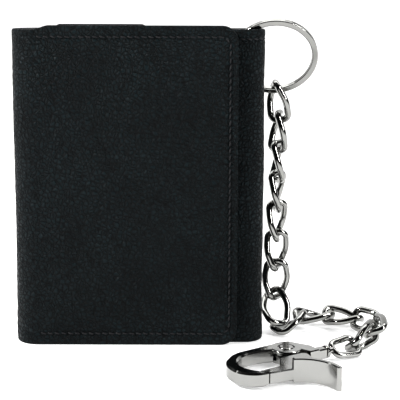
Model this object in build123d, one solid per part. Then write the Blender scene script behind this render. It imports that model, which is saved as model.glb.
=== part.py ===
from build123d import *
import os
from math import asin, atan2, cos, degrees, radians, sin, tan

# Chain wallet: a leather trifold wallet, an eyelet and split ring at its upper right
# corner, a curb chain and a swivelling trigger hook.
# Millimetres, +Z up.  The wallet stands closed on its lower edge at Z = 0 with its
# front towards -Y.  The origin is under the middle of the wallet.

# ---- wallet ------------------------------------------------------------------
HALF_DEPTH = 7.8            # front and back faces at Y = -/+ this
FLAP_HEIGHT = 108.0
FOLD_HEIGHT = 106.7
LEFT_BEND_X = -34.4         # the left fold is a half round from here outwards
RIGHT_BEND_X = 35.8         # the right fold meets the inner panel here
BACK_BEND_X = 38.4          # and the back here
RIGHT_EDGE_X = 42.2
FLAP_EDGE_X = 33.2          # free edge of the flap
FLAP_CORNER = 5.5
FLAP_STEP_X = -29.0         # the flap rises from fold height to full height here
LEATHER = 1.4
LINING = 0.5
FLAP_THICKNESS = 2.7
FOLD_THICKNESS = 1.4        # right fold, leather and lining together
FOLD_FRONT_RADIUS = 6.2
FOLD_REAR_RADIUS = 3.8
PANEL_FRONT_Y = -4.8        # outer face of the inner panel, 0.3 behind the flap
PANEL_LEFT_X = -31.0
JOIN_GAP = 0.15             # half of the slit left where leather bends
POCKET_LAYER = 1.0
POCKET_STEP = 8.5           # each card slot's lip is this much lower than the last
POCKET_TOP = 100.0
POCKET_LEFT_X = -32.0
POCKET_RIGHT_X = 27.3       # leaves the eyelet corner free
BACK_POCKET_FRONT_Y = -0.6
DIVIDER_Y = 3.6
DIVIDER_THICKNESS = 0.8
DIVIDER_RISE = 1.4
WINDOW_WIDTH = 44.0
WINDOW_HEIGHT = 62.0
WINDOW_FRAME = 4.0
WINDOW_FILM = 0.4
STITCH_WIDTH = 0.5
STITCH_PROUD = 0.15
STITCH_INSET_SIDE = 2.7
STITCH_INSET_TOP = 3.8
STITCH_INSET_BOTTOM = 4.0
FOLD_STITCH_DROP = 3.2

# ---- eyelet ------------------------------------------------------------------
EYELET_X = 32.0
EYELET_Z = 94.0
EYELET_HOLE = 5.2           # radius of the clear hole
EYELET_WALL = 0.35
EYELET_FLANGE = 6.1
EYELET_FLANGE_HEIGHT = 0.35
EYELET_WASHER_HEIGHT = 0.25

# ---- split ring --------------------------------------------------------------
RING_CENTRE = (45.75, 5.0, 97.15)
RING_TILT = 120             # its plane leans forward at the top
RING_RADIUS = 13.7          # middle of the wire
RING_RADIAL = 2.0
RING_AXIAL = 1.9
RING_SLIT = 0.12            # groove between the two coils
RING_SLIT_DEPTH = 0.7
RING_EDGE = 0.4

# ---- curb chain --------------------------------------------------------------
LINK_WIRE = 2.3
LINK_SPAN = 13.15           # between the middles of a link's two bows
LINK_TWIST = 72             # one bow is turned this much against the other
BOW_HALF = 3.15
BOW_RADIUS = 2.5
WAIST_HALF = 4.5
WAIST_RADIUS = 8.0
BOW_PLAY = 0.25             # air between two wires that hook into each other
FIRST_LINK = Location((46.6, 11.8, 87.75), (0, 82, 0))
# Every following link: direction over the ground, slope, extra roll (degrees).
LINK_HEADINGS = [
    (180, -88, 0),
    (0, -90, 0),
    (0, -90, 0),
    (0, -90, 0),
    (0, -90, 0),
    (0, -90, 0),
    (-80, -43, -5),
    (40, 10, 20),
    (8, -3, 0),
    (-17, -2, 0),
    (-55, 1, 8),
    (-100, 8, 0),
    (-138, -13, 2),
]

# ---- swivel eye --------------------------------------------------------------
EYE_HEADING = (-148, 0, 22)
EYE_WIRE = 2.2
EYE_BAR_HALF = 3.6
EYE_NECK_HALF = 2.5
EYE_LOOP_LENGTH = 9.8
EYE_CORNER = 2.3
EYE_LENGTH = 13.4           # from the bar to the outer end of the hook's stub
SHANK_RADIUS = 1.05
SHANK_HEAD_RADIUS = 1.5
SHANK_HEAD_LENGTH = 1.1
COLLAR_RADIUS = 2.1
COLLAR_LENGTH = 1.3

# ---- trigger hook (X towards the eye, Z = 0 at half thickness) -----------------
HOOK_AZIMUTH = 32
HOOK_THICKNESS = 4.5
PIVOT = (-11.5, 5.3)
BOSS_RADIUS = 5.2
PLATE = 1.05                # cheeks of the fork that holds the lever
EAR_RADIUS = 3.7
EAR_THICKNESS = 2.0
PIVOT_RADIUS = 1.6
PIVOT_PLAY = 0.2
RIVET_HEAD = 2.3
RIVET_DOME = 0.45
STUB_SIDE = 3.3
STUB_END = -0.3
SHOULDER = -3.7
BORE_RADIUS = 1.35
POCKET_RADIUS = 1.8
POCKET_START = -6.6
POCKET_END = -4.8
LEVER_THICKNESS = 3.9
TAB_TOP = 5.0
TAB_BOTTOM = -2.5
TAB_WALL = 1.7
SPRING_RADIUS = 2.35
SPRING_WIRE = 0.6
SPRING_HEIGHT = 0.55


def sheet(outline, y_front, y_back):
    """Upright sheet: a closed outline in X and Z, thick from y_front to y_back."""
    wire = Polyline(*[(x, y_front, z) for x, z in outline], close=True)
    return extrude(make_face(wire), amount=y_back - y_front, dir=(0, 1, 0))


def rectangle(x0, x1, z0, z1):
    return [(x0, z0), (x1, z0), (x1, z1), (x0, z1)]


def round_upright(part, x, radius):
    """Round the corners of a sheet whose edges run along Y at this X."""
    edges = part.edges().filter_by(Axis.Y).filter_by(lambda e: abs(e.center().X - x) < 0.01)
    return fillet(edges, radius)


def eyelet_disc(radius, y_front, y_back):
    middle = (y_front + y_back) / 2
    return Pos(EYELET_X, middle, EYELET_Z) * Rot(90, 0, 0) * Cylinder(radius, y_back - y_front)


def filleted_loop(points, radii):
    """Closed wire through points, every corner rounded to its own radius."""
    count = len(points)
    corners = []
    for i in range(count):
        here = Vector(*points[i])
        back = (Vector(*points[i - 1]) - here).normalized()
        ahead = (Vector(*points[(i + 1) % count]) - here).normalized()
        half = radians(back.get_angle(ahead)) / 2
        reach = radii[i] / tan(half)
        middle = (back + ahead).normalized() * (radii[i] / sin(half) - radii[i])
        corners.append((here + back * reach, here + middle, here + ahead * reach))
    edges = []
    for i in range(count):
        start, middle, end = corners[i]
        edges.append(ThreePointArc(start, middle, end))
        edges.append(Line(end, corners[(i + 1) % count][0]))
    return edges


def wire_loop(points, radii, diameter):
    """Round wire bent along a closed rounded outline, welded piece by piece."""
    pieces = []
    for edge in filleted_loop(points, radii):
        section = Plane(origin=edge @ 0, z_dir=edge % 0) * Circle(diameter / 2)
        pieces.append(sweep(section, path=edge))
    return pieces[0].fuse(*pieces[1:]).clean()


# ---- leather -----------------------------------------------------------------
def back_section():
    """Back of the wallet: outer leather, lining, bill divider and card slots."""
    left = LEFT_BEND_X + JOIN_GAP
    right = BACK_BEND_X - JOIN_GAP
    leather_y = HALF_DEPTH - LEATHER
    lining_y = leather_y - LINING
    hole = eyelet_disc(EYELET_HOLE + EYELET_WALL, lining_y - 1, HALF_DEPTH + 1)
    cover = sheet(rectangle(left, right, 0, FOLD_HEIGHT), leather_y, HALF_DEPTH) - hole
    lining = sheet(rectangle(left, right, 0.3, FOLD_HEIGHT - 0.3), lining_y, leather_y) - hole
    divider_outline = [
        (POCKET_LEFT_X, 0.3),
        (POCKET_RIGHT_X, 0.3),
        (POCKET_RIGHT_X, FOLD_HEIGHT - 0.8),
        (6.0, FOLD_HEIGHT - 0.8),
        (1.0, FOLD_HEIGHT + DIVIDER_RISE),
        (-27.0, FOLD_HEIGHT + DIVIDER_RISE),
        (POCKET_LEFT_X, FOLD_HEIGHT - 0.8),
    ]
    divider = sheet(divider_outline, DIVIDER_Y, DIVIDER_Y + DIVIDER_THICKNESS)
    pockets = slots(BACK_POCKET_FRONT_Y, POCKET_LAYER, 4, POCKET_TOP - 3 * POCKET_STEP, POCKET_STEP)
    pockets += sheet(rectangle(POCKET_LEFT_X, POCKET_RIGHT_X, 0, POCKET_TOP),
                     BACK_POCKET_FRONT_Y + 4 * POCKET_LAYER, DIVIDER_Y)
    return cover, lining, divider, pockets


def slots(y_front, layer, count, low_top, step):
    """Card slots: layers standing on one base line, each lip above the one before it."""
    stack = None
    for i in range(count):
        y = y_front + i * layer
        leaf = sheet(rectangle(POCKET_LEFT_X, POCKET_RIGHT_X, 0, low_top + i * step), y, y + layer)
        stack = leaf if stack is None else stack + leaf
    return stack


def left_fold():
    """Half round of leather and lining between the back and the flap."""
    def half_tube(outer, inner, height):
        ring = Circle(outer) - Circle(inner)
        half = ring & Pos(-outer, 0) * Rectangle(2 * outer, 2 * outer)
        return Pos(LEFT_BEND_X - JOIN_GAP, 0, 0) * extrude(half, height)
    middle = HALF_DEPTH - LEATHER
    inner = HALF_DEPTH - FLAP_THICKNESS
    return half_tube(HALF_DEPTH, middle, FOLD_HEIGHT), half_tube(middle, inner, FOLD_HEIGHT - 0.3)


def flap():
    """Front flap: outer leather, lining, a shallow pair of slots and its edge seam."""
    left = LEFT_BEND_X + JOIN_GAP
    front = -HALF_DEPTH
    lining_y = front + LEATHER
    pocket_y = lining_y + LINING
    back_y = front + FLAP_THICKNESS
    outline = [
        (left, 0),
        (FLAP_EDGE_X, 0),
        (FLAP_EDGE_X, FLAP_HEIGHT),
        (FLAP_STEP_X, FLAP_HEIGHT),
        (left, FOLD_HEIGHT),
    ]
    cover = round_upright(sheet(outline, front, lining_y), FLAP_EDGE_X, FLAP_CORNER)
    inset = FLAP_EDGE_X - 0.4
    lining = sheet(rectangle(left, inset, 0.4, FOLD_HEIGHT - 0.3), lining_y, pocket_y)
    lining = round_upright(lining, inset, FLAP_CORNER - 0.4)
    half_layer = (back_y - pocket_y) / 2
    pockets = slots(pocket_y, half_layer, 2, POCKET_TOP, -POCKET_STEP)
    return cover, lining, pockets, flap_seam(front)


def flap_seam(front):
    """Thread along the flap's top, free and bottom edges, standing a little proud."""
    outer_x = FLAP_EDGE_X - STITCH_INSET_SIDE + STITCH_WIDTH / 2
    top = FLAP_HEIGHT - STITCH_INSET_TOP + STITCH_WIDTH / 2
    bottom = STITCH_INSET_BOTTOM - STITCH_WIDTH / 2
    left = LEFT_BEND_X + 1
    outer = sheet(rectangle(left, outer_x, bottom, top), front - STITCH_PROUD, front)
    outer = round_upright(outer, outer_x, FLAP_CORNER - STITCH_INSET_SIDE)
    inner_x = outer_x - STITCH_WIDTH
    inner = sheet(rectangle(left - 1, inner_x, bottom + STITCH_WIDTH, top - STITCH_WIDTH),
                  front - STITCH_PROUD - 1, front + 1)
    inner = round_upright(inner, inner_x, FLAP_CORNER - STITCH_INSET_SIDE - STITCH_WIDTH)
    return outer - inner


def fold_profile(grow):
    """Plan of the right fold's outer surface, grown outwards and run on to the left."""
    left = RIGHT_BEND_X - 20
    right = RIGHT_EDGE_X + grow
    front = PANEL_FRONT_Y - grow
    back = HALF_DEPTH + grow
    block = Pos((left + right) / 2, (front + back) / 2) * Rectangle(right - left, back - front)
    corners = block.vertices().filter_by(lambda v: v.X > RIGHT_BEND_X)
    block = fillet(corners.sort_by(Axis.Y)[0], FOLD_FRONT_RADIUS + grow)
    corners = block.vertices().filter_by(lambda v: v.X > RIGHT_BEND_X)
    return fillet(corners.sort_by(Axis.Y)[-1], FOLD_REAR_RADIUS + grow)


def right_fold():
    """Leather turning from the back to the inner panel, with the seam near its top."""
    cut = Pos(RIGHT_BEND_X + JOIN_GAP - 20, 0) * Rectangle(40, 40)
    cut += Pos(BACK_BEND_X + JOIN_GAP - 20, HALF_DEPTH) * Rectangle(40, 10)
    leather = extrude(fold_profile(0) - fold_profile(-FOLD_THICKNESS) - cut, FOLD_HEIGHT)
    band = fold_profile(STITCH_PROUD) - fold_profile(0) - cut
    seam = Pos(0, 0, FOLD_HEIGHT - FOLD_STITCH_DROP - STITCH_WIDTH / 2) * extrude(band, STITCH_WIDTH)
    return leather, seam


def inner_panel():
    """Panel folded under the flap: leather, card slots, and an identity window."""
    right = RIGHT_BEND_X + JOIN_GAP
    leather_y = PANEL_FRONT_Y + LEATHER
    cover = sheet(rectangle(PANEL_LEFT_X, right, 0.2, FOLD_HEIGHT - 0.2), PANEL_FRONT_Y, leather_y)
    slot_y = leather_y + 1.2
    half_layer = (slot_y - leather_y) / 2
    left = PANEL_LEFT_X + 1
    pockets = sheet(rectangle(left, POCKET_RIGHT_X, 0.6, POCKET_TOP), leather_y, leather_y + half_layer)
    pockets += sheet(rectangle(left, POCKET_RIGHT_X, 0.6, POCKET_TOP - POCKET_STEP),
                     leather_y + half_layer, slot_y)
    x0 = (left + POCKET_RIGHT_X - WINDOW_WIDTH) / 2
    z0 = 12.0
    film = sheet(rectangle(x0, x0 + WINDOW_WIDTH, z0, z0 + WINDOW_HEIGHT), slot_y, slot_y + WINDOW_FILM)
    frame = sheet(rectangle(x0 - WINDOW_FRAME, x0 + WINDOW_WIDTH + WINDOW_FRAME,
                            z0 - WINDOW_FRAME, z0 + WINDOW_HEIGHT + WINDOW_FRAME),
                  slot_y, slot_y + 2 * WINDOW_FILM) - film
    opening = sheet(rectangle(x0 + 1.5, x0 + WINDOW_WIDTH - 1.5, z0 + 1.5, z0 + WINDOW_HEIGHT - 1.5),
                    slot_y, slot_y + 3 * WINDOW_FILM)
    return cover, pockets, film, frame - opening


# ---- eyelet and ring ---------------------------------------------------------
def eyelet():
    """Metal eyelet: a barrel with a flange outside and a washer it is rolled over."""
    inside = HALF_DEPTH - LEATHER - LINING
    bore = eyelet_disc(EYELET_HOLE, 0, HALF_DEPTH + 2)
    barrel = eyelet_disc(EYELET_HOLE + EYELET_WALL, inside - EYELET_WASHER_HEIGHT, HALF_DEPTH)
    barrel += eyelet_disc(EYELET_FLANGE, HALF_DEPTH, HALF_DEPTH + EYELET_FLANGE_HEIGHT)
    barrel = barrel - bore
    rim = barrel.edges().filter_by(GeomType.CIRCLE).sort_by(Axis.Y)[-2:]
    barrel = fillet(rim, 0.15)
    washer = eyelet_disc(EYELET_FLANGE, inside - EYELET_WASHER_HEIGHT, inside)
    washer = washer - eyelet_disc(EYELET_HOLE + EYELET_WALL, inside - 2, inside + 2)
    return barrel, washer


def split_ring():
    """Double coil of flat wire, drawn as one ring with the slit between its coils."""
    section = Pos(RING_RADIUS, 0) * RectangleRounded(RING_RADIAL, RING_AXIAL, RING_EDGE)
    for side in (-1, 1):
        x = RING_RADIUS + side * (RING_RADIAL - RING_SLIT_DEPTH) / 2
        section -= Pos(x, 0) * Rectangle(RING_SLIT_DEPTH + 0.01, RING_SLIT)
    ring = revolve(Plane.XZ * section, Axis.Z, 360)
    return Location(RING_CENTRE, (RING_TILT, 0, 0)) * ring


# ---- chain -------------------------------------------------------------------
def across(angle, length):
    """Point off the link's axis: length mm out, turned angle degrees about X."""
    return length * cos(radians(angle)), length * sin(radians(angle))


def curb_link():
    """One twisted link; X runs along it from the middle of its first bow."""
    points = []
    for side in (-1, 1):
        points.append((0, *across(0, side * BOW_HALF)))
    points.append((LINK_SPAN / 2, *across(-LINK_TWIST / 2, WAIST_HALF)))
    for side in (1, -1):
        points.append((LINK_SPAN, *across(-LINK_TWIST, side * BOW_HALF)))
    points.append((LINK_SPAN / 2, *across(-LINK_TWIST / 2, -WAIST_HALF)))
    radii = [BOW_RADIUS, BOW_RADIUS, WAIST_RADIUS, BOW_RADIUS, BOW_RADIUS, WAIST_RADIUS]
    return wire_loop(points, radii, LINK_WIRE)


def far_bow(frame):
    """Middle of a link's far bow; Y runs along the bow and is the next link's hinge."""
    return frame * Pos(LINK_SPAN, 0, 0) * Rot(-LINK_TWIST, 0, 0)


def threaded(bow, azimuth, elevation, roll, step):
    """Frame of a loop hooked into a bow so that it points along the given direction."""
    level = cos(radians(elevation))
    aim = Vector(level * cos(radians(azimuth)), level * sin(radians(azimuth)), sin(radians(elevation)))
    local = Plane(bow).to_local_coords(bow.position + aim)
    turn = radians(90 + roll)
    tilt = asin(max(-1, min(1, local.Y / sin(turn))))
    along = cos(tilt)
    lift = -cos(turn) * sin(tilt)
    swing = atan2(local.X * lift - local.Z * along, local.X * along + local.Z * lift)
    hooked = bow * Rot(0, degrees(swing), 0) * Rot(90 + roll, 0, 0) * Pos(-step, 0, 0)
    return hooked * Rot(0, degrees(tilt), 0)


def chain_frames():
    frames = [FIRST_LINK]
    for azimuth, elevation, roll in LINK_HEADINGS:
        frames.append(threaded(far_bow(frames[-1]), azimuth, elevation, roll, LINK_WIRE + BOW_PLAY))
    return frames


def eye_frame(last_link):
    """Frame of the eye: origin in its bar, X towards the hook."""
    return threaded(far_bow(last_link), *EYE_HEADING, LINK_WIRE + BOW_PLAY)


# ---- swivel ------------------------------------------------------------------
def swivel_eye():
    """Eye of the swivel with its shank, peened to a head inside the hook's neck."""
    corners = [
        (0, -EYE_BAR_HALF, 0),
        (0, EYE_BAR_HALF, 0),
        (EYE_LOOP_LENGTH, EYE_NECK_HALF, 0),
        (EYE_LOOP_LENGTH, -EYE_NECK_HALF, 0),
    ]
    loop = wire_loop(corners, [EYE_CORNER] * 4, EYE_WIRE)
    head_end = EYE_LENGTH - (POCKET_START + POCKET_END) / 2 + SHANK_HEAD_LENGTH / 2
    shank = along_x(SHANK_RADIUS, EYE_LOOP_LENGTH, head_end)
    head = along_x(SHANK_HEAD_RADIUS, head_end - SHANK_HEAD_LENGTH, head_end)
    return loop + shank + head


def swivel_collar():
    end = EYE_LENGTH - STUB_END - 0.3
    collar = along_x(COLLAR_RADIUS, end - COLLAR_LENGTH, end)
    collar = fillet(collar.edges().filter_by(GeomType.CIRCLE), 0.4)
    collar -= along_x(SHANK_RADIUS, end - 4, end + 1)
    return collar - along_x(EYE_WIRE / 2, EYE_LOOP_LENGTH - 2, EYE_LOOP_LENGTH + 1.2)


def along_x(radius, start, end):
    return Pos((start + end) / 2, 0, 0) * Rot(0, 90, 0) * Cylinder(radius, end - start)


# ---- trigger hook ------------------------------------------------------------
def plate_between(face, low, high):
    return Pos(0, 0, low) * extrude(face, high - low)


def pivot_disc(radius, low, high):
    return plate_between(Pos(*PIVOT) * Circle(radius), low, high)


def hook_body():
    """Cast hook: open loop, forked boss for the lever, neck and square stub."""
    half = HOOK_THICKNESS / 2
    back = Line((-11.5, 10.4), (-26.0, 9.6))
    bend = TangentArc((-26.0, 9.6), (-37.6, -3.0), tangent=back % 1)
    nose = TangentArc((-37.6, -3.0), (-29.4, -10.2), tangent=bend % 1)
    tip = Line((-29.4, -10.2), (-31.5, -7.0))
    hollow = ThreePointArc((-31.5, -7.0), (-33.2, -0.2), (-26.6, 6.2))
    inside = TangentArc((-26.6, 6.2), (-16.5, 5.3), tangent=hollow % 1)
    root = Line((-16.5, 5.3), (-11.5, 10.4))
    limb = plate_between(make_face([back, bend, nose, tip, hollow, inside, root]), -half, half)
    limb = chamfer(limb.edges().filter_by(lambda e: abs(abs(e.center().Z) - half) < 0.01), 0.6)
    boss = pivot_disc(BOSS_RADIUS, -half, half)
    boss = fillet(boss.edges().filter_by(GeomType.CIRCLE), 0.5)
    neck_outline = [(-10.5, 10.4), (-7.5, 9.6), (SHOULDER, 2.6), (SHOULDER, -2.3), (-7.4, -2.3), (-9.0, 1.5)]
    neck = plate_between(make_face(Polyline(*neck_outline, close=True)), -half, half)
    neck = chamfer(neck.edges().filter_by(lambda e: abs(abs(e.center().Z) - half) < 0.01), 0.35)
    stub = Pos((SHOULDER + STUB_END) / 2, 0, 0) * Box(STUB_END - SHOULDER, STUB_SIDE, STUB_SIDE)
    stub = chamfer(stub.edges().filter_by(Axis.X), 0.4)
    body = limb + boss + neck + stub
    gap = half - PLATE
    fork = pivot_disc(EAR_RADIUS + 0.3, -gap, gap)
    mouth = Pos(-13.0, 1.0) * Rectangle(11.4, 8.6)
    fork += plate_between(mouth, -gap, gap)
    recess = pivot_disc(RIVET_HEAD + 0.5, half - 0.3, half + 1)
    body = body - fork - recess - pivot_disc(PIVOT_RADIUS, -half - 1, half + 1)
    bore = along_x(BORE_RADIUS, POCKET_END - 0.1, STUB_END + 1)
    return body - bore - along_x(POCKET_RADIUS, POCKET_START, POCKET_END)


def pivot_rivet():
    half = HOOK_THICKNESS / 2
    pin = pivot_disc(PIVOT_RADIUS, -half, half - 0.3)
    head = pivot_disc(RIVET_HEAD, half - 0.3, half - 0.3 + RIVET_DOME)
    head = fillet(head.edges().filter_by(GeomType.CIRCLE).sort_by(Axis.Z)[-1], RIVET_DOME - 0.05)
    return pin + head


def trigger_lever():
    """Lever: gate arm that closes the hook, ear on the rivet and upright thumb tab."""
    half = LEVER_THICKNESS / 2
    ear = EAR_THICKNESS / 2
    arm = [
        (-28.8, -10.2),
        (-30.9, -7.0),
        (-22.8, -6.6),
        (-18.6, -1.0),
        (-8.4, -1.0),
        (-9.6, -7.0),
        (-15.5, -11.2),
        (-19.5, -11.4),
    ]
    face = make_face(Polyline(*arm, close=True))
    bends = face.vertices().filter_by(lambda v: v.X > -28)
    web = plate_between(fillet(bends, 1.8), -half, half)
    web = chamfer(web.edges().filter_by(lambda e: abs(abs(e.center().Z) - half) < 0.01), 0.4)
    web -= pivot_disc(BOSS_RADIUS + 0.4, -3, 3)
    bridge = plate_between(Pos(-13.4, 0.0) * Rectangle(8.0, 5.0), -ear, ear)
    lever = web + bridge + pivot_disc(EAR_RADIUS, -ear, ear)
    tab_line = ThreePointArc((-20.6, -10.4), (-15.0, -14.8), (-13.2, -24.0))
    tab_face = make_face(offset_band(tab_line, TAB_WALL))
    tab = plate_between(tab_face, TAB_BOTTOM, TAB_TOP)
    corners = tab.edges().filter_by(Axis.Z).sort_by(Axis.Y)[:2]
    tab = fillet(corners, 0.7)
    tab = chamfer(tab.faces().sort_by(Axis.Z)[-1].edges(), 0.35)
    lever += tab
    lever -= pivot_disc(PIVOT_RADIUS + PIVOT_PLAY, -3, 3)
    return lever - pivot_disc(SPRING_RADIUS + SPRING_WIRE / 2 + 0.3, 0, ear + 1)


def offset_band(edge, width):
    """Outline of a strip of the given width around an arc."""
    start, middle, end = edge @ 0, edge @ 0.5, edge @ 1
    sides = []
    for sign in (-1, 1):
        side = []
        for t, point in ((0, start), (0.5, middle), (1, end)):
            tangent = edge % t
            side.append(point + Vector(-tangent.Y, tangent.X, 0) * (sign * width / 2))
        sides.append(side)
    left, right = sides
    return [
        ThreePointArc(*left),
        Line(left[-1], right[-1]),
        ThreePointArc(*reversed(right)),
        Line(right[0], left[0]),
    ]


def trigger_spring():
    """Torsion spring round the rivet, sunk in the lever's ear."""
    return Pos(*PIVOT, SPRING_HEIGHT) * Torus(SPRING_RADIUS, SPRING_WIRE / 2)


# ---- assembly ----------------------------------------------------------------
def build_parts():
    parts = {}
    back_names = ["back_cover", "back_lining", "bill_divider", "back_card_pockets"]
    parts.update(zip(back_names, back_section()))
    parts["left_fold_cover"], parts["left_fold_lining"] = left_fold()
    flap_names = ["flap_cover", "flap_lining", "flap_card_pockets", "flap_seam_thread"]
    parts.update(zip(flap_names, flap()))
    parts["right_fold_leather"], parts["right_fold_thread"] = right_fold()
    cover, pockets, film, frame = inner_panel()
    parts["inner_panel_cover"] = cover
    parts["inner_card_pockets"] = pockets
    parts["id_window_film"] = film
    parts["id_window_frame"] = frame
    parts["eyelet_barrel"], parts["eyelet_washer"] = eyelet()
    parts["split_ring"] = split_ring()
    frames = chain_frames()
    link = curb_link()
    for i, frame in enumerate(frames):
        parts[f"chain_link_{i + 1:02d}"] = frame * link
    eye = eye_frame(frames[-1])
    parts["swivel_eye"] = eye * swivel_eye()
    parts["swivel_collar"] = eye * swivel_collar()
    end = (eye * Pos(EYE_LENGTH, 0, 0)).position
    hook = Location(end, (0, 0, HOOK_AZIMUTH))
    parts["hook_body"] = hook * hook_body()
    parts["pivot_rivet"] = hook * pivot_rivet()
    parts["trigger_lever"] = hook * trigger_lever()
    parts["trigger_spring"] = hook * trigger_spring()
    return parts


os.makedirs("parts", exist_ok=True)
for name, shape in build_parts().items():
    export_step(shape, f"parts/{name}.step")
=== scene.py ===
from itertools import product
from math import cos, pi, radians, sin

import bpy
import numpy as np
from mathutils import Matrix, Vector


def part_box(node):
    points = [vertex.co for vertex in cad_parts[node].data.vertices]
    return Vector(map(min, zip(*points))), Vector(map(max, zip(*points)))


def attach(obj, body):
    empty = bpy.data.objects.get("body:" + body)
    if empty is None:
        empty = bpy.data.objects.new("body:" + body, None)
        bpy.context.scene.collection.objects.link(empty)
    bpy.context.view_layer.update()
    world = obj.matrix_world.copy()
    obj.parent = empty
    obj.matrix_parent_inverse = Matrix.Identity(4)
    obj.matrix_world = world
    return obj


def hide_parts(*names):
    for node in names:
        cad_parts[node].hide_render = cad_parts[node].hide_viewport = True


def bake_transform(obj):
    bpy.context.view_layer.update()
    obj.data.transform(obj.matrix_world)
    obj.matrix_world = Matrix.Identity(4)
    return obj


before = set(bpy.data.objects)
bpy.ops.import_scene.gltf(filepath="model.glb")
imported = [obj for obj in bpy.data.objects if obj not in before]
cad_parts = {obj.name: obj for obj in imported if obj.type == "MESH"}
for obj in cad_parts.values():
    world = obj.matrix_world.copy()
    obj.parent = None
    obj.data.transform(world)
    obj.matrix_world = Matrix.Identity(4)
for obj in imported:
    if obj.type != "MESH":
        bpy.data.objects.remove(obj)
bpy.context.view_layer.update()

# Chain wallet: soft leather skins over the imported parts, stitches, and the finishes
# of the metal.  Metres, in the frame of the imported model.
MM = 0.001


# ---- places taken from the frame ------------------------------------------------
def corner(node, end, axis):
    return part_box(node)[end]["XYZ".index(axis)]


FRONT = corner("flap_cover", 0, "Y")
BACK = corner("back_cover", 1, "Y")
BEND_X = (corner("flap_cover", 0, "X") + corner("left_fold_cover", 1, "X")) / 2
FLAP_EDGE = corner("flap_cover", 1, "X")
FLAP_TOP = corner("flap_cover", 1, "Z")
FOLD_TOP = corner("left_fold_cover", 1, "Z")
RIGHT_EDGE = corner("right_fold_leather", 1, "X")
BACK_EDGE = corner("back_cover", 1, "X")
PANEL_FRONT = corner("inner_panel_cover", 0, "Y")
PANEL_LEFT = corner("inner_panel_cover", 0, "X")
LEATHER = BACK - corner("back_cover", 0, "Y")
LINING = corner("back_lining", 1, "Y") - corner("back_lining", 0, "Y")
EYELET_X = (corner("eyelet_barrel", 0, "X") + corner("eyelet_barrel", 1, "X")) / 2
EYELET_Z = (corner("eyelet_barrel", 0, "Z") + corner("eyelet_barrel", 1, "Z")) / 2
EYELET_CUT = 5.55 * MM       # radius of the hole in the leather for the eyelet
FLAP_CORNER = 5.5 * MM       # rounding of the flap's free corners
STEP_X = -29 * MM            # the flap's top edge reaches its full height here, right of the bend
FRONT_RADIUS = 6.2 * MM      # right fold, front and rear roundings
REAR_RADIUS = 3.8 * MM
PITCH = 0.45 * MM            # grid of the leather meshes
FINE_STEPS = (0.06 * MM, 0.15 * MM, 0.28 * MM)   # extra grid lines inside a rounded edge
EDGE_ROUND = 0.45 * MM       # largest rounding of a cut edge
RELIEF_FADE = 1.2 * MM       # the relief grows to full depth over this far from an edge
LINING_INSET = 0.4 * MM      # how much smaller the flap's lining is than its leather
LINING_TRIM = 0.3 * MM       # how far linings stop short of the leather's top edge
SLOT_STEP = 8.5 * MM         # height from one card slot to the next
THREAD_HALF = 0.25 * MM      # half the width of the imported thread
THREAD_SUNK = 0.12 * MM      # how deep the stitches lie in their groove
STITCH_PITCH = 2.3 * MM
STITCH_LENGTH = 1.75 * MM
STITCH_RADIUS = 0.27 * MM


# ---- noise ------------------------------------------------------------------------
# large odd numbers that scramble a grid cell's place into a value
HASH_X, HASH_Y, HASH_Z, HASH_SEED, HASH_MIX = 73856093, 19349663, 83492791, 2654435, 1274126177


def smooth_noise(points, cell, seed):
    """Repeatable smooth noise from -1 to 1 at an array of points."""
    grid = points / cell
    base = np.floor(grid).astype(np.int64)
    part = grid - base
    part = part * part * (3 - 2 * part)
    total = np.zeros(len(points))
    for step in product((0, 1), repeat=3):
        at = base + np.array(step)
        mixed = at[:, 0] * HASH_X ^ at[:, 1] * HASH_Y ^ at[:, 2] * HASH_Z ^ seed * HASH_SEED
        mixed = (mixed ^ (mixed >> 13)) * HASH_MIX & 0x7FFFFFFF
        value = (mixed >> 8) % 4096 / 2048 - 1
        weight = np.prod(np.where(np.array(step), part, 1 - part), axis=1)
        total += value * weight
    return total


def soft_relief(points, seed, size=1.0):
    """Slow waves and a fine uneven surface of well used leather."""
    slow = smooth_noise(points, 21 * MM, seed) * 0.22 + smooth_noise(points, 9 * MM, seed + 1) * 0.10
    fine = smooth_noise(points, 3.4 * MM, seed + 2) * 0.06 + smooth_noise(points, 1.4 * MM, seed + 3) * 0.07
    return (slow + fine) * MM * size


def creases(points, seed):
    """Thin slanting wrinkles: noise turned by a slant and drawn out along it."""
    slant, across, drawn_out = 0.8, 0.8, 0.22
    narrowness = 5
    depth = 0.16 * MM
    turned = points.copy()
    turned[:, 0] = (points[:, 0] + points[:, 2] * slant) * across
    turned[:, 2] = (points[:, 2] - points[:, 0] * slant) * drawn_out
    ridge = 1 - np.abs(smooth_noise(turned, 5.5 * MM, seed)) * narrowness
    return -np.clip(ridge, 0, 1) ** 1.5 * depth


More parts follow.
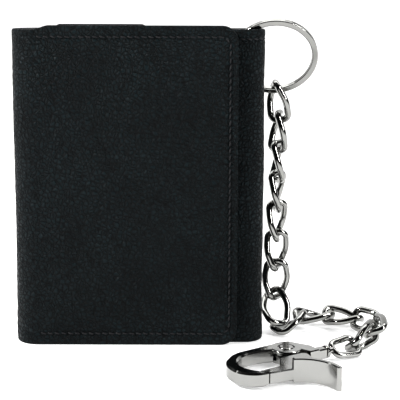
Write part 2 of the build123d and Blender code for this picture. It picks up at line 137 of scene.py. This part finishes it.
# ---- routes: the plan of a piece of leather -------------------------------------------
def route(start, heading, runs, fine_ends=(False, False)):
    """Points, outward normals and distances along runs of (length or radius, turn in degrees)."""
    points = [Vector(start)]
    headings = [radians(heading)]
    for i, (size, turn) in enumerate(runs):
        length = size if turn == 0 else size * abs(radians(turn))
        count = max(2, round(length / PITCH))
        stops = list(np.linspace(0, length, count + 1)[1:])
        if i == 0 and fine_ends[0]:
            stops = sorted(stops + list(FINE_STEPS))
        if i == len(runs) - 1 and fine_ends[1]:
            stops = sorted(stops + [length - step for step in FINE_STEPS])
        origin = points[-1].copy()
        first = headings[-1]
        for stop in stops:
            if turn == 0:
                points.append(origin + Vector((cos(first), sin(first))) * stop)
                headings.append(first)
            else:
                side = 1 if turn > 0 else -1
                centre = origin + Vector((-sin(first), cos(first))) * size * side
                angle = first + side * stop / size
                points.append(centre - Vector((-sin(angle), cos(angle))) * size * side)
                headings.append(angle)
    points = np.array([tuple(p) for p in points])
    headings = np.array(headings)
    normals = np.stack([-np.sin(headings), np.cos(headings)], axis=1)
    along = np.concatenate([[0], np.cumsum(np.linalg.norm(np.diff(points, axis=0), axis=1))])
    return points, normals, along


def heights(tall):
    """Shares of a height: fine at both ends, even between."""
    ends = np.array([0, *FINE_STEPS])
    middle = np.linspace(PITCH, tall - PITCH, max(2, round(tall / PITCH)))
    return np.concatenate([ends, middle, tall - ends[::-1]]) / tall


def new_object(name, vertices, faces, look):
    mesh = bpy.data.meshes.new(name)
    mesh.from_pydata([tuple(v) for v in vertices], [], [tuple(int(k) for k in f) for f in faces])
    mesh.validate()
    mesh.polygons.foreach_set("use_smooth", [True] * len(mesh.polygons))
    mesh.materials.append(look)
    obj = bpy.data.objects.new(name, mesh)
    bpy.context.scene.collection.objects.link(obj)
    return obj


def skin_faces(cells):
    """Faces over both sides of a grid of cells, and across the thickness at its edges."""
    rows, columns = cells.shape[0] + 1, cells.shape[1] + 1
    index = np.arange(rows * columns).reshape(rows, columns)
    other = index + rows * columns
    faces = []
    for i, j in zip(*np.nonzero(cells)):
        faces.append((index[i, j], index[i, j + 1], index[i + 1, j + 1], index[i + 1, j]))
        faces.append((other[i, j], other[i + 1, j], other[i + 1, j + 1], other[i, j + 1]))
    wide = np.zeros((rows + 1, columns + 1), bool)
    wide[1:-1, 1:-1] = cells
    for i, j in zip(*np.nonzero(cells)):
        if not wide[i, j + 1]:
            faces.append((index[i, j], other[i, j], other[i, j + 1], index[i, j + 1]))
        if not wide[i + 2, j + 1]:
            faces.append((index[i + 1, j + 1], other[i + 1, j + 1], other[i + 1, j], index[i + 1, j]))
        if not wide[i + 1, j]:
            faces.append((index[i + 1, j], other[i + 1, j], other[i, j], index[i, j]))
        if not wide[i + 1, j + 2]:
            faces.append((index[i, j + 1], other[i, j + 1], other[i + 1, j + 1], index[i + 1, j + 1]))
    return np.array(faces)


def sheet_mesh(line, low, high, depth, thickness, relief, free=(True, True), hole=False):
    """Vertices and faces of a closed piece of leather with rounded edges.

    low and high are the bottom and top heights at every point of the line; depth is
    how far the outer face lies inside the line.  free says which ends are cut edges, and
    hole pierces the back for the eyelet."""
    points, normals, along = line
    share = heights(float(np.max(high - low)))
    z = low[:, None] + share[None, :] * (high - low)[:, None]
    x = np.repeat(points[:, :1], len(share), axis=1)
    y = np.repeat(points[:, 1:], len(share), axis=1)
    edge = np.minimum(z - low[:, None], high[:, None] - z)
    if free[0]:
        edge = np.minimum(edge, along[:, None])
    if free[1]:
        edge = np.minimum(edge, (along[-1] - along)[:, None])
    reach = min(EDGE_ROUND, thickness * 0.48)
    inward = np.clip(reach - edge, 0, reach)
    sink = reach - np.sqrt(np.maximum(reach ** 2 - inward ** 2, 0))
    flat = np.stack([x.ravel(), y.ravel(), z.ravel()], axis=1)
    rise = relief(flat).reshape(z.shape) * np.clip(edge / RELIEF_FADE, 0, 1)
    out_by = -depth + rise - sink
    in_by = -depth - thickness + sink
    cells = np.ones((len(points) - 1, len(share) - 1), bool)
    if hole:
        away = np.hypot(x - EYELET_X, z - EYELET_Z)
        on_back = y > 0
        centre = (away[:-1, :-1] + away[1:, 1:]) / 2
        cells &= ~((centre < EYELET_CUT) & on_back[:-1, :-1])
        near = (np.abs(away - EYELET_CUT) < PITCH * 0.75) & on_back
        pull = np.where(near, EYELET_CUT / np.maximum(away, 1e-9), 1)
        x = EYELET_X + (x - EYELET_X) * pull
        z = EYELET_Z + (z - EYELET_Z) * pull
    outer = np.stack([x + normals[:, :1] * out_by, y + normals[:, 1:] * out_by, z], axis=2)
    inner = np.stack([x + normals[:, :1] * in_by, y + normals[:, 1:] * in_by, z], axis=2)
    vertices = np.concatenate([outer.reshape(-1, 3), inner.reshape(-1, 3)])
    faces = skin_faces(cells)
    used = np.unique(faces)
    renumber = np.full(len(vertices), -1)
    renumber[used] = np.arange(len(used))
    return vertices[used], renumber[faces]


def joined(name, meshes, look):
    """One object out of several (vertices, faces) pairs."""
    vertices = []
    faces = []
    for some, their in meshes:
        faces += [tuple(np.array(f) + len(vertices)) for f in their]
        vertices += [tuple(v) for v in some]
    return new_object(name, vertices, faces, look)


# ---- materials -----------------------------------------------------------------------
def material(name, **sockets):
    made = bpy.data.materials.new(name)
    made.use_nodes = True
    shader = made.node_tree.nodes["Principled BSDF"]
    for socket, value in sockets.items():
        shader.inputs[socket.replace("_", " ")].default_value = value
    return made, made.node_tree.nodes, made.node_tree.links, shader


def texture(nodes, links, kind, scale, vector=None, **options):
    """A noise, wave or Voronoi texture, in object coordinates unless a vector is given."""
    made = nodes.new("ShaderNodeTex" + kind)
    made.inputs["Scale"].default_value = scale
    for option, value in options.items():
        if hasattr(made, option):
            setattr(made, option, value)
        else:
            made.inputs[option.replace("_", " ")].default_value = value
    if vector is None:
        vector = nodes.new("ShaderNodeTexCoord").outputs["Object"]
    links.new(vector, made.inputs["Vector"])
    return made


def ramp(nodes, links, source, stops):
    """Colours or greys spread over a texture's value."""
    made = nodes.new("ShaderNodeValToRGB")
    band = made.color_ramp
    while len(band.elements) < len(stops):
        band.elements.new(0.5)
    for element, (position, colour) in zip(band.elements, stops):
        element.position = position
        element.color = (*colour, 1) if isinstance(colour, tuple) else (colour, colour, colour, 1)
    links.new(source, made.inputs["Fac"])
    return made.outputs["Color"]


def bump(nodes, links, height, distance, strength=1.0, after=None):
    """A bump from a height, on top of another bump where one is given."""
    made = nodes.new("ShaderNodeBump")
    made.inputs["Distance"].default_value = distance
    made.inputs["Strength"].default_value = strength
    links.new(height, made.inputs["Height"])
    if after is not None:
        links.new(after, made.inputs["Normal"])
    return made.outputs["Normal"]


def uneven_place(nodes, links, cell, amount):
    """Object coordinates pushed about by noise, so that grain cells come out irregular."""
    here = nodes.new("ShaderNodeTexCoord")
    noise = texture(nodes, links, "Noise", 0.45 / cell, Detail=2)
    push = nodes.new("ShaderNodeVectorMath")
    push.operation = "MULTIPLY_ADD"
    push.inputs[1].default_value = (amount, amount, amount)
    links.new(noise.outputs["Color"], push.inputs[0])
    links.new(here.outputs["Object"], push.inputs[2])
    return push.outputs["Vector"]


def tinted(nodes, links, colour, painted_shade_and_wear):
    """A colour multiplied by a grey."""
    made = nodes.new("ShaderNodeMix")
    made.data_type = "RGBA"
    made.blend_type = "MULTIPLY"
    made.inputs["Factor"].default_value = 1.0
    links.new(colour, made.inputs["A"])
    links.new(painted_shade_and_wear, made.inputs["B"])
    return made.outputs["Result"]


def leather_material(name, dark, light, grain, depth, rough, painted_valley_shade):
    """Pebbled leather: domed cells with painted shade darkening the valleys and domes lightened as by wear,
    fine pores, uneven gloss.
    """
    made, nodes, links, shader = material(name, Specular_IOR_Level=0.07)
    spread = uneven_place(nodes, links, grain, grain * 1.1)
    cells = texture(nodes, links, "Voronoi", 1 / grain, spread, feature="DISTANCE_TO_EDGE", Randomness=1.0)
    small = texture(nodes, links, "Voronoi", 2.3 / grain, spread, feature="DISTANCE_TO_EDGE")
    cloud = texture(nodes, links, "Noise", 55, Detail=4)
    pores = texture(nodes, links, "Noise", 2.4 / grain, Detail=3)
    domes = ramp(nodes, links, cells.outputs["Distance"], [(0.0, 0.0), (0.16, 0.75), (0.45, 1.0)])
    facets = ramp(nodes, links, small.outputs["Distance"], [(0.0, 0.0), (0.2, 1.0)])
    # painted shade: the base colour is darkened in the valleys between grain cells, where shade falls; the
    # domes are lightened as by wear
    painted_shade_and_wear = ramp(nodes, links, cells.outputs["Distance"], [(0.0, painted_valley_shade), (0.08, 0.6), (0.40, 1.6)])
    colour = ramp(nodes, links, cloud.outputs["Fac"], [(0.3, dark), (0.72, light)])
    links.new(tinted(nodes, links, colour, painted_shade_and_wear), shader.inputs["Base Color"])
    gloss = ramp(nodes, links, cells.outputs["Distance"], [(0.0, rough + 0.35), (0.3, rough)])
    links.new(gloss, shader.inputs["Roughness"])
    normal = bump(nodes, links, domes, depth)
    normal = bump(nodes, links, facets, depth * 0.3, 0.7, normal)
    normal = bump(nodes, links, pores.outputs["Fac"], depth * 0.6, 0.6, normal)
    links.new(normal, shader.inputs["Normal"])
    return made


def lining_material():
    """Fine woven lining."""
    made, nodes, links, shader = material("lining_weave", Roughness=0.8, Sheen_Weight=0.2)
    normal = None
    for direction in ("X", "Z"):
        threads = texture(nodes, links, "Wave", 620, bands_direction=direction, Distortion=0.6)
        normal = bump(nodes, links, threads.outputs["Fac"], 0.05 * MM, after=normal)
    links.new(normal, shader.inputs["Normal"])
    cloud = texture(nodes, links, "Noise", 240, Detail=3)
    colour = ramp(nodes, links, cloud.outputs["Fac"],
                  [(0.3, (0.010, 0.010, 0.011)), (0.7, (0.020, 0.020, 0.022))])
    links.new(colour, shader.inputs["Base Color"])
    return made


def thread_material():
    """Waxed twisted thread."""
    made, nodes, links, shader = material("thread_waxed", Roughness=0.6, Specular_IOR_Level=0.2)
    wave = texture(nodes, links, "Wave", 900, bands_direction="DIAGONAL")
    normal = bump(nodes, links, wave.outputs["Fac"], 0.06 * MM)
    links.new(normal, shader.inputs["Normal"])
    cloud = texture(nodes, links, "Noise", 400)
    colour = ramp(nodes, links, cloud.outputs["Fac"],
                  [(0.3, (0.003, 0.003, 0.004)), (0.7, (0.008, 0.008, 0.009))])
    links.new(colour, shader.inputs["Base Color"])
    return made


def metal_material(name, tone, rough, wear):
    """Plated metal with faint scratches and smudges."""
    made, nodes, links, shader = material(name, Metallic=1.0)
    smudge = texture(nodes, links, "Noise", 260, Detail=5)
    gloss = ramp(nodes, links, smudge.outputs["Fac"], [(0.35, rough), (0.75, rough + wear)])
    links.new(gloss, shader.inputs["Roughness"])
    cloud = texture(nodes, links, "Noise", 90, Detail=3)
    darker = tuple(c * 0.9 for c in tone)
    colour = ramp(nodes, links, cloud.outputs["Fac"], [(0.3, darker), (0.7, tone)])
    links.new(colour, shader.inputs["Base Color"])
    scratch = texture(nodes, links, "Noise", 1400, Detail=4)
    normal = bump(nodes, links, scratch.outputs["Fac"], 0.012 * MM, 0.35)
    links.new(normal, shader.inputs["Normal"])
    return made


def film_material():
    """Clear flexible window film."""
    made, nodes, links, shader = material("window_film_clear", Transmission_Weight=0.9, IOR=1.45)
    haze = texture(nodes, links, "Noise", 130, Detail=4)
    gloss = ramp(nodes, links, haze.outputs["Fac"], [(0.3, 0.12), (0.75, 0.3)])
    links.new(gloss, shader.inputs["Roughness"])
    normal = bump(nodes, links, haze.outputs["Fac"], 0.25 * MM, 0.5)
    links.new(normal, shader.inputs["Normal"])
    return made


outer = leather_material("leather_pebbled", (0.0003, 0.0018, 0.0024), (0.0024, 0.0054, 0.0064),
                         grain=1.35 * MM, depth=0.34 * MM, rough=0.36, painted_valley_shade=0.0)
inside = leather_material("leather_smooth", (0.0070, 0.0075, 0.0080), (0.0130, 0.0135, 0.0140),
                          grain=0.6 * MM, depth=0.05 * MM, rough=0.46, painted_valley_shade=0.7)
woven = lining_material()
waxed = thread_material()
chrome = metal_material("chrome_bright", (0.23, 0.23, 0.22), rough=0.05, wear=0.06)
cast = metal_material("hook_plated", (0.28, 0.28, 0.27), rough=0.09, wear=0.08)
steel = metal_material("spring_steel", (0.55, 0.55, 0.56), rough=0.28, wear=0.1)
film = film_material()


# ---- leather pieces --------------------------------------------------------------------
def level(line, z):
    """The same height at every point of a line."""
    return np.full(len(line[0]), float(z))


def place(obj, body, slot, *nodes):
    """Let an object move with a body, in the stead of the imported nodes."""
    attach(obj, body)
    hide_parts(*nodes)


def seam_distance(points):
    """Distance from the flap's stitched line: across, down its free edge and back."""
    right = corner("flap_seam_thread", 1, "X") - THREAD_HALF
    top = corner("flap_seam_thread", 1, "Z") - THREAD_HALF
    bottom = corner("flap_seam_thread", 0, "Z") + THREAD_HALF
    over = np.maximum(points[:, 2] - top, bottom - points[:, 2])
    return np.abs(np.maximum(over, points[:, 0] - right))


def groove(away, depth, width):
    """The hollow that a row of stitches pulls into leather, by the distance from the row."""
    return -depth * np.exp(-(away / width) ** 2)


def flap_relief(points):
    """Waves, wrinkles that fade towards the bottom, and the groove of the flap's seam."""
    front = points[:, 1] < FRONT + 1 * MM
    seam = groove(seam_distance(points), 0.32 * MM, 0.75 * MM)
    worn = np.clip((points[:, 2] - 45 * MM) / (35 * MM), 0.15, 1)
    return soft_relief(points, 11) + np.where(front, seam, 0) + creases(points, 15) * worn


def fold_seam():
    """Height of the seam round the right fold."""
    return (corner("right_fold_thread", 0, "Z") + corner("right_fold_thread", 1, "Z")) / 2


def fold_relief(points):
    """Waves, and the groove of the right fold's seam."""
    seam = groove(points[:, 2] - fold_seam(), 0.28 * MM, 0.7 * MM)
    return soft_relief(points, 31, 0.9) + np.where(points[:, 0] > 33 * MM, seam, 0)


def back_relief(points):
    """Waves and wrinkles, calm round the eyelet."""
    near = np.hypot(points[:, 0] - EYELET_X, points[:, 2] - EYELET_Z)
    calm = np.clip((near - 7 * MM) / (4 * MM), 0, 1)
    return (soft_relief(points, 21) + creases(points, 25) * 0.7) * calm


def slight_relief(points):
    """The faint unevenness of a lining or a thin divider."""
    return smooth_noise(points, 6 * MM, 71) * 0.02 * MM


def flap_plan(inset):
    """Line from the flap's free edge to the left side, and how far its corners cut in."""
    edge = FLAP_EDGE - inset
    radius = FLAP_CORNER - inset
    line = route((edge, FRONT), 180, [(edge - BEND_X, 0), (abs(FRONT), -90)], (True, False))
    inward = np.clip(radius - (edge - line[0][:, 0]), 0, radius)
    return line, radius - np.sqrt(radius ** 2 - inward ** 2) + inset


def flap_leather():
    """Front of the flap and the front half of the left fold, in one piece."""
    line, cut = flap_plan(0)
    rise = np.clip((line[0][:, 0] - BEND_X) / (STEP_X - BEND_X), 0, 1)
    top = FOLD_TOP + (FLAP_TOP - FOLD_TOP) * rise * rise * (3 - 2 * rise)
    mesh = sheet_mesh(line, cut, top - cut, 0, LEATHER, flap_relief, (True, False))
    obj = new_object("flap_leather", *mesh, outer)
    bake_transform(obj)
    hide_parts("flap_cover", "left_fold_cover")


def flap_lining():
    """Lining of the flap and the front half of the left fold."""
    line, cut = flap_plan(LINING_INSET)
    top = level(line, FOLD_TOP - LINING_TRIM)
    mesh = sheet_mesh(line, cut, top - cut, LEATHER, LINING, slight_relief, (True, False))
    obj = new_object("flap_lining_cloth", *mesh, woven)
    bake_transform(obj)
    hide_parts("flap_lining", "left_fold_lining")


def back_leather():
    """Back of the wallet and the rear half of the left fold, pierced for the eyelet."""
    turn = abs(FRONT)
    line = route((BEND_X - turn, 0), 90, [(turn, -90), (BACK_EDGE - BEND_X, 0)])
    for name, depth, thickness, relief, look, slot, node, trim in (
            ("back_leather", 0, LEATHER, back_relief, outer, "outer_leather", "back_cover", 0),
            ("back_lining_cloth", LEATHER, LINING, slight_relief, woven, "lining", "back_lining",
             LINING_TRIM)):
        mesh = sheet_mesh(line, level(line, trim), level(line, FOLD_TOP - trim), depth, thickness, relief,
                          (False, False), hole=True)
        obj = new_object(name, *mesh, look)
        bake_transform(obj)
        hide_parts(node)


def right_route(panel, fine_ends=(False, False)):
    """Line round the right fold from the back, ending with a stretch of the inner panel."""
    runs = [
        (REAR_RADIUS, -90),
        (BACK - REAR_RADIUS - (PANEL_FRONT + FRONT_RADIUS), 0),
        (FRONT_RADIUS, -90),
        (panel, 0),
    ]
    return route((RIGHT_EDGE - REAR_RADIUS, BACK), 0, runs, fine_ends)


def right_leather():
    """Right fold and the inner panel behind the flap, in one piece."""
    line = right_route(RIGHT_EDGE - FRONT_RADIUS - PANEL_LEFT, (False, True))
    mesh = sheet_mesh(line, level(line, 0), level(line, FOLD_TOP), 0, LEATHER, fold_relief, (False, True))
    obj = new_object("right_fold_panel_leather", *mesh, outer)
    place(obj, "inner_panel", "outer_leather", "right_fold_leather", "inner_panel_cover")


def leaf(x0, x1, low, high, y_front, y_back, seed):
    """One upright leaf of thin leather with rounded edges."""
    line = route((x1, y_front), 180, [(x1 - x0, 0)], (True, True))

    def sway(points):
        return smooth_noise(points, 14 * MM, seed) * 0.05 * MM

    return sheet_mesh(line, level(line, low), level(line, high), 0, y_back - y_front, sway)


def slot_stack(box, layer, share, drops, seed):
    """Leaves one behind the other, each filling a share of its layer and dropped by slot steps."""
    low, high = box
    return [leaf(low[0], high[0], low[2], high[2] - drop * SLOT_STEP, low[1] + i * layer,
                 low[1] + (i + share) * layer, seed + i) for i, drop in enumerate(drops)]


def card_slots():
    """Stacked card slots of the back, the flap and the inner panel."""
    meshes = slot_stack(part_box("back_card_pockets"), 1.0 * MM, 0.97, (3, 2, 1, 0), 41)
    place(joined("back_slots", meshes, inside), "wallet_back", "pocket_leather", "back_card_pockets")
    low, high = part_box("flap_card_pockets")
    meshes = slot_stack((low, high), (high[1] - low[1]) / 2, 0.95, (0, 1), 51)
    place(joined("flap_slots", meshes, inside), "flap", "pocket_leather", "flap_card_pockets")
    low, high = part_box("inner_card_pockets")
    meshes = slot_stack((low, high), (high[1] - low[1]) / 2, 0.95, (0, 1), 61)
    place(joined("inner_slots", meshes, inside), "inner_panel", "pocket_leather", "inner_card_pockets")


def divider():
    """Thin divider of the bill compartment, a little taller over part of its width."""
    low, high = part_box("bill_divider")
    line = route((high[0], low[1]), 180, [(high[0] - low[0], 0)], (True, True))
    x = line[0][:, 0]
    slope = 5 * MM
    tall_end = 6 * MM
    side_top = FOLD_TOP - 0.8 * MM
    up = np.clip((tall_end - x) / slope, 0, 1) * np.clip((x - low[0]) / slope, 0, 1)
    top = side_top + (high[2] - side_top) * up
    mesh = sheet_mesh(line, level(line, low[2]), top, 0, high[1] - low[1], slight_relief)
    place(new_object("bill_divider_leather", *mesh, inside), "wallet_back", "lining", "bill_divider")


# ---- stitches ---------------------------------------------------------------------------
def stitch(middle, direction, normal):
    """One pass of thread: a small rounded bar that dips into its holes at both ends."""
    across = direction.cross(normal).normalized()
    vertices = []
    faces = []
    rings = 7
    sides = 8
    rise, sunk, skew = 0.16 * MM, 0.10 * MM, 0.18 * MM
    for i in range(rings):
        t = i / (rings - 1) * 2 - 1
        arch = (1 - t * t) * rise - sunk
        radius = STITCH_RADIUS * max(0.25, (1 - abs(t) ** 4) ** 0.5)
        lean = across * t * skew
        centre = middle + direction * (t * STITCH_LENGTH / 2) + normal * arch + lean
        for k in range(sides):
            a = 2 * pi * k / sides
            vertices.append(centre + across * cos(a) * radius + normal * sin(a) * radius)
    for i in range(rings - 1):
        for k in range(sides):
            n = (k + 1) % sides
            faces.append((i * sides + k, (i + 1) * sides + k, (i + 1) * sides + n, i * sides + n))
    faces.append(tuple(range(sides)))
    faces.append(tuple((rings - 1) * sides + k for k in reversed(range(sides))))
    return [tuple(v) for v in vertices], faces


def stitch_run(corners, normal):
    """Stitches evenly spaced along straight lines between corner points."""
    made = []
    for a, b in zip(corners[:-1], corners[1:]):
        length = (b - a).length
        count = max(1, round(length / STITCH_PITCH))
        for i in range(count):
            made.append(stitch(a + (b - a) * (i + 0.5) / count, (b - a).normalized(), normal))
    return made


def flap_stitches():
    """Stitches across the top of the flap, down its free edge and back along the bottom."""
    low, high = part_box("flap_seam_thread")
    y = FRONT + THREAD_SUNK
    bevel = 1.9 * MM
    right = high[0] - THREAD_HALF
    top = high[2] - THREAD_HALF
    bottom = low[2] + THREAD_HALF
    corners = [(low[0], top), (right - bevel, top), (right, top - bevel), (right, bottom + bevel),
               (right - bevel, bottom), (low[0], bottom)]
    corners = [Vector((x, y, z)) for x, z in corners]
    obj = joined("flap_stitches", stitch_run(corners, Vector((0, -1, 0))), waxed)
    place(obj, "flap", "thread", "flap_seam_thread")


def fold_stitches():
    """Stitches round the right fold, from the back to just past the front rounding."""
    points, normals, along = right_route(5 * MM)
    made = []
    count = int(along[-1] / STITCH_PITCH)
    for i in range(count):
        at = (i + 0.5) * along[-1] / count
        x, y = (np.interp(at, along, points[:, k]) for k in (0, 1))
        nx, ny = (np.interp(at, along, normals[:, k]) for k in (0, 1))
        normal = Vector((nx, ny, 0)).normalized()
        middle = Vector((x, y, fold_seam())) - normal * THREAD_SUNK
        made.append(stitch(middle, Vector((ny, -nx, 0)).normalized(), normal))
    obj = joined("right_fold_stitches", made, waxed)
    place(obj, "inner_panel", "thread", "right_fold_thread")


def window_stitches():
    """Thread around the identity window."""
    low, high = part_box("id_window_frame")
    inset = 1.5 * MM
    y = high[1] - 0.05 * MM
    left, right = low[0] + inset, high[0] - inset
    bottom, top = low[2] + inset, high[2] - inset
    around = [(left, bottom), (right, bottom), (right, top), (left, top), (left, bottom)]
    corners = [Vector((x, y, z)) for x, z in around]
    obj = joined("window_stitches", stitch_run(corners, Vector((0, 1, 0))), waxed)
    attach(obj, "inner_panel")


flap_leather()
flap_lining()
back_leather()
right_leather()
card_slots()
divider()
flap_stitches()
fold_stitches()
window_stitches()


# ---- finishes of the parts that stay as they are ------------------------------------------
def finish(node, made):
    """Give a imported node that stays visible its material."""
    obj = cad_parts[node]
    obj.data.materials.clear()
    obj.data.materials.append(made)


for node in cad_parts:
    if node.startswith("chain_link") or node in ("split_ring", "eyelet_barrel", "eyelet_washer"):
        finish(node, chrome)
    elif node in ("swivel_eye", "swivel_collar", "hook_body", "pivot_rivet", "trigger_lever"):
        finish(node, cast)
    elif node == "trigger_spring":
        finish(node, steel)
    elif node == "id_window_film":
        finish(node, film)
    elif node == "id_window_frame":
        finish(node, inside)


# ---- floor, light and camera --------------------------------------------------------------
def floor():
    """Pale floor that curves up into a backdrop."""
    half_width, front, rear, radius, top = 2.6, -2.5, 1.2, 0.5, 2.2
    below = 0.02 * MM
    profile = [(front, 0), (rear, 0)]
    for angle in range(6, 91, 6):
        a = radians(angle)
        profile.append((rear + radius * sin(a), radius - radius * cos(a)))
    profile.append((rear + radius, top))
    vertices = [(x, y, z - below) for y, z in profile for x in (-half_width, half_width)]
    faces = [(2 * i, 2 * i + 1, 2 * i + 3, 2 * i + 2) for i in range(len(profile) - 1)]
    made, nodes, links, shader = material("floor_white", Roughness=0.85, Specular_IOR_Level=0.1,
                                          Emission_Color=(1, 1, 1, 1), Emission_Strength=0.36)
    cloud = texture(nodes, links, "Noise", 3)
    colour = ramp(nodes, links, cloud.outputs["Fac"], [(0.3, 0.90), (0.7, 0.92)])
    links.new(colour, shader.inputs["Base Color"])
    new_object("floor", vertices, faces, made)


def area(name, size, at, towards, power):
    """A rectangular lamp, with its size, place and aim in metres and its power in watts."""
    lamp = bpy.data.lights.new(name, "AREA")
    lamp.shape = "RECTANGLE"
    lamp.size = size[0]
    lamp.size_y = size[1]
    lamp.energy = power
    obj = bpy.data.objects.new(name, lamp)
    bpy.context.scene.collection.objects.link(obj)
    obj.location = at
    obj.rotation_euler = (Vector(towards) - Vector(at)).to_track_quat("-Z", "Y").to_euler()


floor()
area("overhead", (1.0, 0.3), (0.02, 0.24, 0.60), (0, 0.06, 0), 2.5)
area("left_key", (0.07, 0.07), (-0.42, -0.16, 0.36), (0, 0, 0.07), 5.5)
area("right_strip", (0.04, 0.3), (0.38, -0.20, 0.26), (0.04, 0, 0.06), 2.2)
area("backdrop", (3.0, 1.0), (0, 0.7, 1.6), (0, 1.6, 0.3), 24)

world = bpy.data.worlds.new("studio")
bpy.context.scene.world = world
world.use_nodes = True
world.node_tree.nodes["Background"].inputs["Color"].default_value = (1, 1, 1, 1)
world.node_tree.nodes["Background"].inputs["Strength"].default_value = 0.01

CAMERA_AT = (0.02054, -0.350, 0.119)
LOOK_DOWN = radians(7.5)
ROLL = radians(0.175)
camera = bpy.data.cameras.new("camera")
camera.lens = 94.1
camera.sensor_width = 36
camera.shift_y = -0.177
camera.clip_start = 0.01
view = bpy.data.objects.new("camera", camera)
bpy.context.scene.collection.objects.link(view)
tilt = Matrix.Rotation(pi / 2 - LOOK_DOWN, 4, "X") @ Matrix.Rotation(ROLL, 4, "Z")
view.matrix_world = Matrix.Translation(CAMERA_AT) @ tilt
bpy.context.scene.camera = view
bpy.context.scene.view_settings.view_transform = "Standard"
